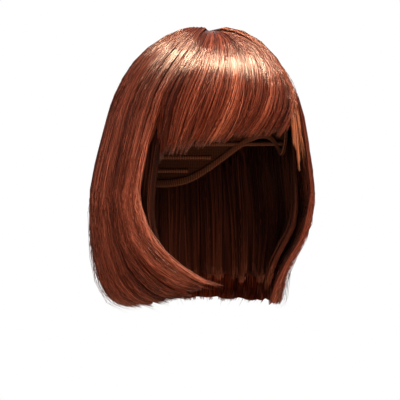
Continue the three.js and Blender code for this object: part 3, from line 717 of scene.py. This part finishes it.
def strands(panel, count, rings, seed):
    """Paths of strands from their roots to their tips: points and outward directions for each ring,
    and what the colouring needs to know about each strand."""
    rng = np.random.default_rng(seed)
    turn = panel["start"] + rng.uniform(0, 1, count) * (panel["stop"] - panel["start"])
    column = columns_at(panel, turn)
    place = (turn - panel["start"]) / panel["wisp"] + rng.normal(0, WISP_MIX, count)
    names, wisp = np.unique(np.floor(place).astype(int), return_inverse=True)
    middle = panel["start"] + (names + 0.5) * panel["wisp"]
    middle = np.clip(middle, min(panel["start"], panel["stop"]), max(panel["start"], panel["stop"]))
    wisp_column = columns_at(panel, middle)
    total = len(names)

    ragged = rng.uniform(0, 1, total) ** RAGGED_EASE * panel["ragged"]
    shorter = ragged[wisp] + np.abs(rng.normal(0, TIP_SCATTER, count))
    end = wisp_column["end"][wisp] - shorter * FALL_OF_METRE
    from_part = rng.uniform(0, 1, count) < panel["from_part"]
    root = np.where(from_part, rng.uniform(*PART_ROOTS, count), rng.uniform(*panel["roots"], count))
    root = np.maximum(root, panel["top"])
    way = np.linspace(0, 1, rings)[None, :]
    fall = root[:, None] + (end - root)[:, None] * np.interp(way, *panel["bends"])

    near = rng.uniform(0, 1, count) < panel["outside"]
    share = np.where(near, rng.uniform(*OUTSIDE_DEPTH, count), rng.uniform(SHELL_SHARES[1], 1, count))
    share = np.where(from_part, share / 2, share)
    buried = np.where(from_part, 0.0, 1.0)[:, None] * (1 - smoothstep(way, 0, BURIED_UNTIL))
    depth = share[:, None] * (1 - buried) + buried * np.maximum(share[:, None], BURIED_DEPTH)

    gather = smoothstep(fall / end[:, None], GATHER_FROM, 1)
    to_wisp = panel["gather"] * (middle[wisp] - turn)
    to_lock = panel["clump"] * (wisp_column["middle"] - middle)[wisp]
    shared = rng.uniform(0, 2 * math.pi, (2, total))[:, wisp]
    own = rng.uniform(0, 2 * math.pi, (2, count))
    swing = wave(shared[0], fall, WISP_SWING) + wave(own[0], fall, OWN_SWING)
    stray = (rng.uniform(0, 1, count) < panel["strays"]) * rng.normal(0, 1, count)
    drift = swing * smoothstep(fall, *SWING_STARTS) + stray[:, None] * STRAY_TURN * gather
    turns = combed_aside(panel, turn[:, None], fall, end[:, None])
    turns = turns + (to_wisp + to_lock)[:, None] * gather + drift

    spread = {key: value[:, None] for key, value in column.items()}
    spread["groove"] = np.clip(spread["groove"] * (1 - GROOVE_FILLED * gather), 0, 1)
    spread["end"] = end[:, None]
    spread["turn"] = turns
    face, back = panel["face"](fall, spread), panel["back"](fall, spread)
    teased = 1 - smoothstep(np.abs(fall - TEASED_AT), *TEASED_FADES)
    lift = wave(shared[1], fall, WISP_LIFT) + wave(own[1], fall, OWN_LIFT)
    lift = lift + teased * wave(shared[0], fall, TEASED_LIFT)
    lift = lift + np.abs(stray)[:, None] * STRAY_LIFT * gather
    points, outward = hair_point(turns, fall, face, back, depth, lift)

    own_tone = rng.uniform(0, 1, count)
    broad = sum(one["size"] * ripple(turn, one["length"], rng) for one in RIPPLES)
    lit = np.zeros(count)
    for bright in panel["bright_wisps"]:
        lit += bright["light"] * (1 - smoothstep(np.abs(turn - bright["turn"]), 0, bright["half"]))
    shade = np.clip(broad[:, None] + lit[:, None] * smoothstep(way, *LIT_FROM), 0, 1)
    tones = np.stack(np.broadcast_arrays(own_tone[:, None], way, shade, share[:, None]), -1)
    return points, outward, way, tones


ROOT_TAPER = (-0.08, 0.05)  # of a strand's length, where it grows to its full width
TIP_TAPER = (0.75, 1)
TIP_THINNED = 0.7
RIDGE_RISE = 0.75  # of half its width, by which a tube's ridge stands out, and its edges sink
EDGE_SINK = 0.25
CELL_SLIMNESS = 4  # a strand's cell of the map is so many times as tall as wide
CELL_SIDES = 3.6  # sides of a strand that would fill its cell from left to right
CELL_MARGIN = 0.15
CELL_FILL = 0.92


def on_corners(values):
    """What the corners of the tubes take from their rings, which are given from root to tip."""
    body = np.repeat(values[:, 1:-1], 3, 1)
    return np.concatenate([body, values[:, [0, -1]]], 1).reshape(-1, values.shape[-1])


def map_faces(corners, shape):
    """The places on the map of faces whose corners are given as arrays of across and up."""
    return np.stack([
        np.stack([np.broadcast_to(u, shape), np.broadcast_to(v, shape)], -1) for u, v in corners
    ], 3).reshape(-1, len(corners), 2)


def tubes(points, outward, way, width):
    """Flat three-sided tubes along strands, pointed at both ends, with a cell of the map for each."""
    count, rings, _ = points.shape
    along = unit(np.gradient(points, axis=1))
    across = unit(np.cross(along, outward))
    out = unit(np.cross(across, along))
    taper = smoothstep(way, *ROOT_TAPER) * (1 - TIP_THINNED * smoothstep(way, *TIP_TAPER))
    half = (width[:, None] * taper / 2)[..., None]
    corners = np.stack([
        points + out * half * RIDGE_RISE,
        points - across * half - out * half * EDGE_SINK,
        points + across * half - out * half * EDGE_SINK,
    ], 2)
    each = (rings - 2) * 3 + 2
    body = corners[:, 1:-1].reshape(count, -1, 3)
    verts = np.concatenate([body, points[:, [0, -1]]], 1).reshape(-1, 3)
    base = (np.arange(count) * each)[:, None, None]
    ring = np.arange(rings - 2)[None, :, None] * 3
    side = np.arange(3)[None, None, :]
    a = base + ring + side
    b = base + ring + (side + 1) % 3
    quads = np.stack([a[:, :-1], b[:, :-1], b[:, 1:], a[:, 1:]], -1).reshape(-1, 4)
    root = np.broadcast_to(base + each - 2, a[:, :1].shape)
    tip = np.broadcast_to(base + each - 1, a[:, :1].shape)
    first = np.stack([root, b[:, :1], a[:, :1]], -1).reshape(-1, 3)
    last = np.stack([a[:, -1:], b[:, -1:], tip], -1).reshape(-1, 3)

    across_cells = math.ceil(math.sqrt(count * CELL_SLIMNESS))
    down_cells = math.ceil(count / across_cells)
    cell = np.arange(count)[:, None, None]
    left = cell % across_cells / across_cells
    low = cell // across_cells / down_cells
    u0 = left + (side + CELL_MARGIN) / CELL_SIDES / across_cells
    u1 = left + (side + 1 + CELL_MARGIN) / CELL_SIDES / across_cells
    v = np.arange(rings)[None, :, None] / (rings - 1) * CELL_FILL + (1 - CELL_FILL) / 2
    v = v / down_cells + low
    middle = (u0 + u1) / 2
    maps = (
        map_faces([(u0, v[:, 1:-2]), (u1, v[:, 1:-2]), (u1, v[:, 2:-1]), (u0, v[:, 2:-1])],
                  (count, rings - 3, 3)),
        map_faces([(middle, v[:, :1]), (u1, v[:, 1:2]), (u0, v[:, 1:2])], (count, 1, 3)),
        map_faces([(u0, v[:, -2:-1]), (u1, v[:, -2:-1]), (middle, v[:, -1:])], (count, 1, 3)),
    )
    return verts, (quads, first, last), maps


WIDTHS = (0.7, 1.3)  # how much strands differ in width
STRANDS_CHART = 0.94  # the height of the map that the strands take up
SHEET_CHART = (0.46, 0.045)  # the size of the sheet's outer side there, and where it stands
SHEET_CORNER = (0.01, 0.948)
SHEET_ASIDE = (0.5, 0)  # from it to the inner side


def hair_piece(name, panel, material, massed, count, rings, seed, width=0.0008):
    """One piece of hair: the strands and the sheet under them, joined in one mesh."""
    points, outward, way, tones = strands(panel, count, rings, seed)
    widths = width * np.random.default_rng(seed + 1).uniform(*WIDTHS, count)
    verts, groups, maps = tubes(points, outward, way, widths)
    sheet_points, sheet_faces = shell(panel)
    every_point = np.concatenate([verts, sheet_points])
    piece = mesh_piece(name, every_point, [*groups, sheet_faces + len(verts)], material)
    piece.data.materials.append(massed)
    drawn = sum(len(group) for group in groups)
    which = np.repeat([0, 1], [drawn, len(sheet_faces)]).astype(np.int32)
    piece.data.polygons.foreach_set("material_index", which)
    tone = np.concatenate([on_corners(tones), np.tile((0, 0, 0, 1), (len(sheet_points), 1))])
    layer_of_tones = piece.data.attributes.new("hair_tone", "FLOAT_COLOR", "POINT")
    layer_of_tones.data.foreach_set("color", tone.astype(np.float32).ravel())
    cells = np.concatenate([group.reshape(-1, 2) for group in maps]) * (1, STRANDS_CHART)
    places = np.meshgrid(np.linspace(0, 1, SHELL_COLUMNS), np.linspace(0, 1, SHELL_ROWS), indexing="ij")
    flat = np.stack(places, -1).reshape(-1, 2) * SHEET_CHART + SHEET_CORNER
    both = np.concatenate([flat, flat + SHEET_ASIDE])
    cells = np.concatenate([cells, both[sheet_faces.ravel()]])
    chart = piece.data.uv_layers.new(name="OFBake")
    chart.data.foreach_set("uv", cells.astype(np.float32).ravel())
    return piece


DYE_PLACES = (0.2, 0.55, 0.85, 1)  # where a mix of dyes goes from the darkest to the lightest
OWN_TONE = 0.5  # how much a strand's own tone counts, and how much that of its wisps
WISP_TONE = 0.7
DEEPEST_SHADE = 0.35  # painted shade: the share of its colour which hair deep within a panel keeps
FIBRE_IOR = 1.55
GLINT_TINT = "#ffd3b8"
STREAKS = (560, 50, 1)  # across and along the hair, over the whole map
STREAK_PLACES = (0.4, 0.68)


def dye_ramp(tree, mix, places, dyes):
    """The colours that a mix of dyes gives, from the darkest to the lightest."""
    ramp = add_node(tree, "ShaderNodeValToRGB", _0=mix)
    stops = ramp.color_ramp.elements
    stops[0].position, stops[1].position = places[0], places[-1]
    stops[0].color, stops[1].color = linear(dyes[0]), linear(dyes[-1])
    for place, dye in zip(places[1:-1], dyes[1:-1]):
        stops.new(place).color = linear(dye)
    return ramp.outputs[0]


def hair_material(name, dyes, smooth=0.13, rough=0.32, shine=0.75, root_shade=0.12):
    """Heat-resistant synthetic fibre: smooth, with a sharp highlight across the strands, and a mix
    of dyes that differs from strand to strand and from lock to lock, darkened with painted shade
    the deeper a strand lies within its panel."""
    made, shader = new_material(name)
    tree = made.node_tree
    tone = add_node(tree, "ShaderNodeAttribute", {"attribute_name": "hair_tone"})
    parts = add_node(tree, "ShaderNodeSeparateColor", Color=tone.outputs["Color"])
    own = add_node(tree, "ShaderNodeMath", {"operation": "MULTIPLY"}, _0=parts.outputs[0], _1=OWN_TONE)
    shared = add_node(tree, "ShaderNodeMath", {"operation": "MULTIPLY_ADD"},
                      _0=parts.outputs[2], _1=WISP_TONE, _2=own.outputs[0])
    grown_out = add_node(tree, "ShaderNodeMath", {"operation": "MULTIPLY_ADD"},
                         _0=parts.outputs[1], _1=root_shade, _2=-root_shade / 2)
    mix = add_node(tree, "ShaderNodeMath", {"operation": "ADD"},
                   _0=shared.outputs[0], _1=grown_out.outputs[0])
    # painted shade: the deeper a strand lies within its panel, the darker its colour
    deep = add_node(tree, "ShaderNodeMapRange", Value=tone.outputs["Alpha"],
                    To_Min=1.0, To_Max=DEEPEST_SHADE)
    dyes_with_painted_shade = add_node(tree, "ShaderNodeMix", {"data_type": "RGBA", "blend_type": "MULTIPLY"},
                      _0=1.0, _6=dye_ramp(tree, mix.outputs[0], DYE_PLACES, dyes), _7=deep.outputs[0])
    gloss = add_node(tree, "ShaderNodeMapRange", Value=parts.outputs[0], To_Min=smooth, To_Max=rough)
    plug(shader, Base_Color=dyes_with_painted_shade.outputs[2], Roughness=gloss.outputs[0], IOR=FIBRE_IOR,
         Specular_IOR_Level=shine, Specular_Tint=linear(GLINT_TINT))
    return made


def massed_material(name, dark, bright):
    """The same fibre where it isn't drawn strand by strand: fine streaks along the hair, matt, in darker
    dyes than the strands': painted shade of the hair's inside.
    """
    made, shader = new_material(name)
    tree = made.node_tree
    place = add_node(tree, "ShaderNodeUVMap", {"uv_map": "OFBake"})
    drawn_out = add_node(tree, "ShaderNodeMapping", Vector=place.outputs[0], Scale=STREAKS)
    streaks = add_node(tree, "ShaderNodeTexNoise", {"noise_dimensions": "2D"},
                       Vector=drawn_out.outputs[0], Scale=1.0, Detail=3.0)
    relief = add_node(tree, "ShaderNodeBump", Height=streaks.outputs[0], Strength=0.7, Distance=0.0006)
    plug(shader, Base_Color=dye_ramp(tree, streaks.outputs[0], STREAK_PLACES, (dark, bright)),
         Normal=relief.outputs[0], Roughness=0.6, Specular_IOR_Level=0.1)
    return made


def no_lean(turn):
    return np.zeros_like(turn)


def fringe_lean(turn):
    """Degrees by which the fringe's ends are combed towards the wearer's right."""
    share = (turn - RIGHT_EDGE) / (BANGS_LEFT_EDGE + LEAN_LEFT - RIGHT_EDGE)
    return -LEAN_RIGHT - (LEAN_LEFT - LEAN_RIGHT) * np.clip(share, 0, 1) ** LEAN_HASTE


def fringe_root_lean(turn):
    """Degrees by which the roots at the fringe's right end are pushed forward by the side's."""
    return ROOTS_FORWARD * np.clip(1 - (turn - RIGHT_EDGE) / ROOTS_SPREAD, 0, 1)


def panel_of(start, stop, locks, wisp, **own):
    """A panel of hair from one turn to another, with what its strands share:
    hem and notch, where the locks end and how deep the cuts between their ends are;
    face and back, its outer and its inner side, as depths below the form;
    outside, the share of its strands that lie outside the sheet;
    inset and clear, how far the sheet stops short of its sides, in degrees, and of its hem;
    wisp and ragged, how wide a wisp is, in degrees, and how unevenly wisps end;
    from_part and roots, the share of strands rooted at the part, and the falls of the other roots;
    gather, clump and strays, how strands close up to their wisp and lock, and how many fly off;
    lean, root_lean and waist_lean, how far they are combed aside at ends, roots and half-way;
    bends, how a strand's rings, from 0 to 1, are spread along it."""
    common = {
        "start": start, "stop": stop, "locks": locks, "wisp": wisp * np.sign(stop - start),
        "top": 0.0, "gather": 0.4, "clump": 0.2, "strays": 0.04,
        "lean": no_lean, "root_lean": no_lean, "waist_lean": no_lean,
        "bends": EVEN_BENDS, "bright_wisps": (),
    }
    return {**common, **own}


# painted shade: the sheet under the fringe takes darker dyes than its strands
fringe_mass = massed_material("massed_copper_red_painted_shade", "#240a04", "#5c2210")
fringe_hair = hair_material("copper_red_fibre", ("#280c08", "#491c11", "#773927", "#a55f48"))
fringe = panel_of(
    RIGHT_EDGE, BANGS_LEFT_EDGE + LEAN_LEFT, BANGS_LOCKS, wisp=1.5, hem=fringe_hem,
    notch=BANGS_NOTCH, face=fringe_face, back=fringe_back, outside=0.85, inset=(2.0, 3.0),
    clear=0.013, ragged=0.006, from_part=0.45, roots=(0.05, 0.4), gather=0.3, clump=0.1,
    strays=0.03, lean=fringe_lean, root_lean=fringe_root_lean, bends=FRINGE_BENDS,
    bright_wisps=({"turn": -7, "half": 10, "light": 0.5}, {"turn": 21, "half": 7, "light": 0.35}),
)
bangs = hair_piece("fringe_hair", fringe, fringe_hair, fringe_mass, 3100, 12, seed=12, width=0.0007)
finish(bangs, "bangs")


# The temple lock: a thin lighter lock of the same fibre, hanging in front of the wearer's left ear.
TEMPLE_DROP = 0.134
TEMPLE_TUCK = 0.009
TEMPLE_THICKNESS = 0.0045
TEMPLE_FORWARD = 6
TEMPLE_LOCKS = {"width": [1], "ridge": [0.9], "short": [0]}


def temple_face(fall, column):
    return outer_face(fall, column) + TEMPLE_TUCK * smoothstep(fall, *TUCK_SHARES)


def temple_back(fall, column):
    thin = thinning(fall, column)
    return temple_face(fall, column) + TEMPLE_THICKNESS * (1 - thin) + TIP_THICKNESS * thin


def temple_hem(turn):
    return fall_at(turn, -TEMPLE_DROP)


def temple_lean(turn):
    """Degrees by which the lock's tip hangs further forward."""
    return np.full_like(turn, -TEMPLE_FORWARD)


# painted shade: the sheet under the lock takes darker dyes than its strands
bright_mass = massed_material("massed_light_copper_painted_shade", "#4a1f0f", "#8a4a28")
bright_hair = hair_material("light_copper_fibre", ("#54210f", "#7d4430", "#a96c4a", "#c08a62"),
                            root_shade=0.5)
temple = panel_of(
    BANGS_LEFT_EDGE, LEFT_EDGE, TEMPLE_LOCKS, wisp=2.4, hem=temple_hem, notch=0.03,
    face=temple_face, back=temple_back, outside=0.7, inset=(1.5, 1.5), clear=0.02, ragged=0.01,
    from_part=0.45, roots=(0.05, 0.5), gather=0.5, strays=0.05, lean=temple_lean,
)
temple_lock = hair_piece("temple_hair", temple, bright_hair, bright_mass, 500, 12, seed=21)
finish(temple_lock, "temple_lock")


# The side panels: the long hair at each side, from the part to the hem, combed forward below the
# ears, with the ends turned under.
FRONT_LEAN = 8  # degrees by which the right front edge is combed forward at its ends
WAIST_BACK = 6  # and back half-way down
EDGE_COMBED = 30  # degrees from the edge over which that is done
CROWN_AND_HEM_BENDS = ((0, 0.6, 0.76, 1), (0, 0.5, 0.77, 1))  # few rings where the hair hangs straight
SIDE_LOCKS = {
    "width": [0.8, 1, 1.2, 0.9, 1.1, 1, 1.1],
    "ridge": [1, 1, 0.9, 0.8, 0.9, 0.7, 0.9],
    "short": [0, 0.4, 0.1, 0.6, 0.1, 0.5, 0.2],
}


def full_hem(turn):
    return np.full_like(turn, 2)


def near_right_edge(turn, spread):
    """1 at the right panel's front edge, 0 so many degrees behind it, and 0 on the left."""
    return np.clip(1 - (RIGHT_EDGE - turn) / spread, 0, 1) * (turn < 0)


def side_lean(turn):
    return FRONT_LEAN * near_right_edge(turn, EDGE_COMBED)


def side_root_lean(turn):
    """Degrees by which the roots at the right front edge lie over the fringe's."""
    return ROOTS_FORWARD * near_right_edge(turn, ROOTS_SPREAD)


def side_waist_lean(turn):
    return -WAIST_BACK * near_right_edge(turn, EDGE_COMBED)


def outer_panel(start, stop, locks, **own):
    """A panel of the long outer hair."""
    common = {
        "hem": full_hem, "notch": 0.007, "face": outer_face, "back": outer_back, "outside": 0.8,
        "clear": 0.008, "ragged": 0.01, "from_part": 0.4, "roots": (0.05, 0.75), "lean": side_lean,
        "root_lean": side_root_lean, "waist_lean": side_waist_lean, "bends": CROWN_AND_HEM_BENDS,
    }
    return panel_of(start, stop, locks, wisp=1.4, **{**common, **own})


# painted shade: the sheet under the long hair takes darker dyes than its strands
side_mass = massed_material("massed_auburn_painted_shade", "#220a05", "#54200f")
side_hair = hair_material("auburn_fibre", ("#290e09", "#481d12", "#6f3728", "#985946"))
right_panel = outer_panel(
    RIGHT_EDGE, -BACK_EDGE, SIDE_LOCKS, inset=(3.0, 0.3), clump=0.25,
    bright_wisps=({"turn": RIGHT_EDGE - 6, "half": 14, "light": 0.45},),
)
side_right = hair_piece("side_right_hair", right_panel, side_hair, side_mass, 2400, 14, seed=31)
finish(side_right, "side_right")
left_panel = outer_panel(
    LEFT_EDGE, BACK_EDGE, SIDE_LOCKS, inset=(3.0, 0.3), clump=0.3, ragged=0.018, gather=0.7,
    bright_wisps=({"turn": LEFT_EDGE + 6, "half": 14, "light": 0.45},),
)
side_left = hair_piece("side_left_hair", left_panel, side_hair, side_mass, 2100, 14, seed=41)
finish(side_left, "side_left")


# The back: the same long hair between the two side panels.
BACK_LAP = 2  # degrees by which the back's hair crosses the hair at each side, so that no slit opens
BACK_LOCKS = {
    "width": [1, 1.2, 0.9, 1.1, 1, 1.2, 1, 0.8, 1.2, 1],
    "ridge": [0.8, 0.9, 0.7, 0.9, 1, 0.8, 0.9, 0.8, 0.9, 0.8],
    "short": [0.2, 0, 0.6, 0.2, 0, 0.5, 0.1, 0.7, 0, 0.4],
}

back_panel = outer_panel(BACK_EDGE - BACK_LAP, 360 - BACK_EDGE + BACK_LAP, BACK_LOCKS,
                         inset=(0.3, 0.3))
back = hair_piece("back_hair", back_panel, side_hair, side_mass, 2450, 14, seed=51, width=0.0009)
finish(back, "back")


# The inner layer: shorter hair from the lower wefts, which hangs behind the outer one at
# both sides and at the nape. Its dyes are darker than the outer hair's: painted shade.
LAYER_GAP = 0.008
UNDER_THICKNESS = 0.0055
UNDER_VALLEY = 0.5  # of the grooves of the outer layer
UNDER_TOP = 0.93  # the falls at which the layer starts, has its last roots and ends
UNDER_ROOTS_END = 1.1
UNDER_END = 1.82
UNDER_LOCKS = {
    "width": [1, 1.2, 0.9, 1.1, 1, 1.1],
    "ridge": [1, 1, 1, 1, 1, 1],
    "short": [0, 0.6, 0.1, 0.5, 0, 0.6],
}
NAPE_LOCKS = {
    "width": [1, 1.2, 0.9, 1.1, 1],
    "ridge": [1, 1, 1, 1, 1],
    "short": [0.3, 0, 0.6, 0.1, 0.4],
}


def under_outside(fall):
    return full_back(fall) + LAYER_GAP * layer(fall, "apart")


def under_face(fall, column):
    return under_outside(fall) + UNDER_VALLEY * groove_depth(fall, column)


def under_back(fall, column):
    return under_outside(fall) + UNDER_THICKNESS * layer(fall, "under")


def under_hem(turn):
    return np.full_like(turn, UNDER_END)


def under_panel(start, stop, locks, inset):
    """A panel of the inner hair."""
    return panel_of(
        start, stop, locks, wisp=2.4, top=UNDER_TOP, hem=under_hem, notch=0.008, face=under_face,
        back=under_back, outside=0.35, clear=0.01, inset=inset, ragged=0.015, from_part=0.0,
        roots=(UNDER_TOP, UNDER_ROOTS_END), clump=0.3,
    )


# painted shade: the inner hair and its sheet take darker dyes than the outer hair
under_mass = massed_material("massed_inner_auburn_painted_shade", "#120604", "#2c120b")
under_hair = hair_material("inner_auburn_fibre_painted_shade", ("#1f0f0c", "#3a1d16", "#5e3226", "#70402f"),
                           smooth=0.35, rough=0.5, shine=0.15, root_shade=0.6)
under_right_panel = under_panel(RIGHT_EDGE, -NAPE_EDGE, UNDER_LOCKS, inset=(2.0, 0.3))
under_right = hair_piece("under_right_hair", under_right_panel, under_hair, under_mass, 1500, 10,
                         seed=61, width=0.0011)
finish(under_right, "under_right")
under_left_panel = under_panel(LEFT_EDGE, NAPE_EDGE, UNDER_LOCKS, inset=(2.0, 0.3))
under_left = hair_piece("under_left_hair", under_left_panel, under_hair, under_mass, 1500, 10,
                        seed=71, width=0.0011)
finish(under_left, "under_left")
nape_panel = under_panel(NAPE_EDGE, 360 - NAPE_EDGE, NAPE_LOCKS, inset=(0.3, 0.3))
nape = hair_piece("nape_hair", nape_panel, under_hair, under_mass, 1000, 10, seed=81, width=0.0011)
finish(nape, "nape")
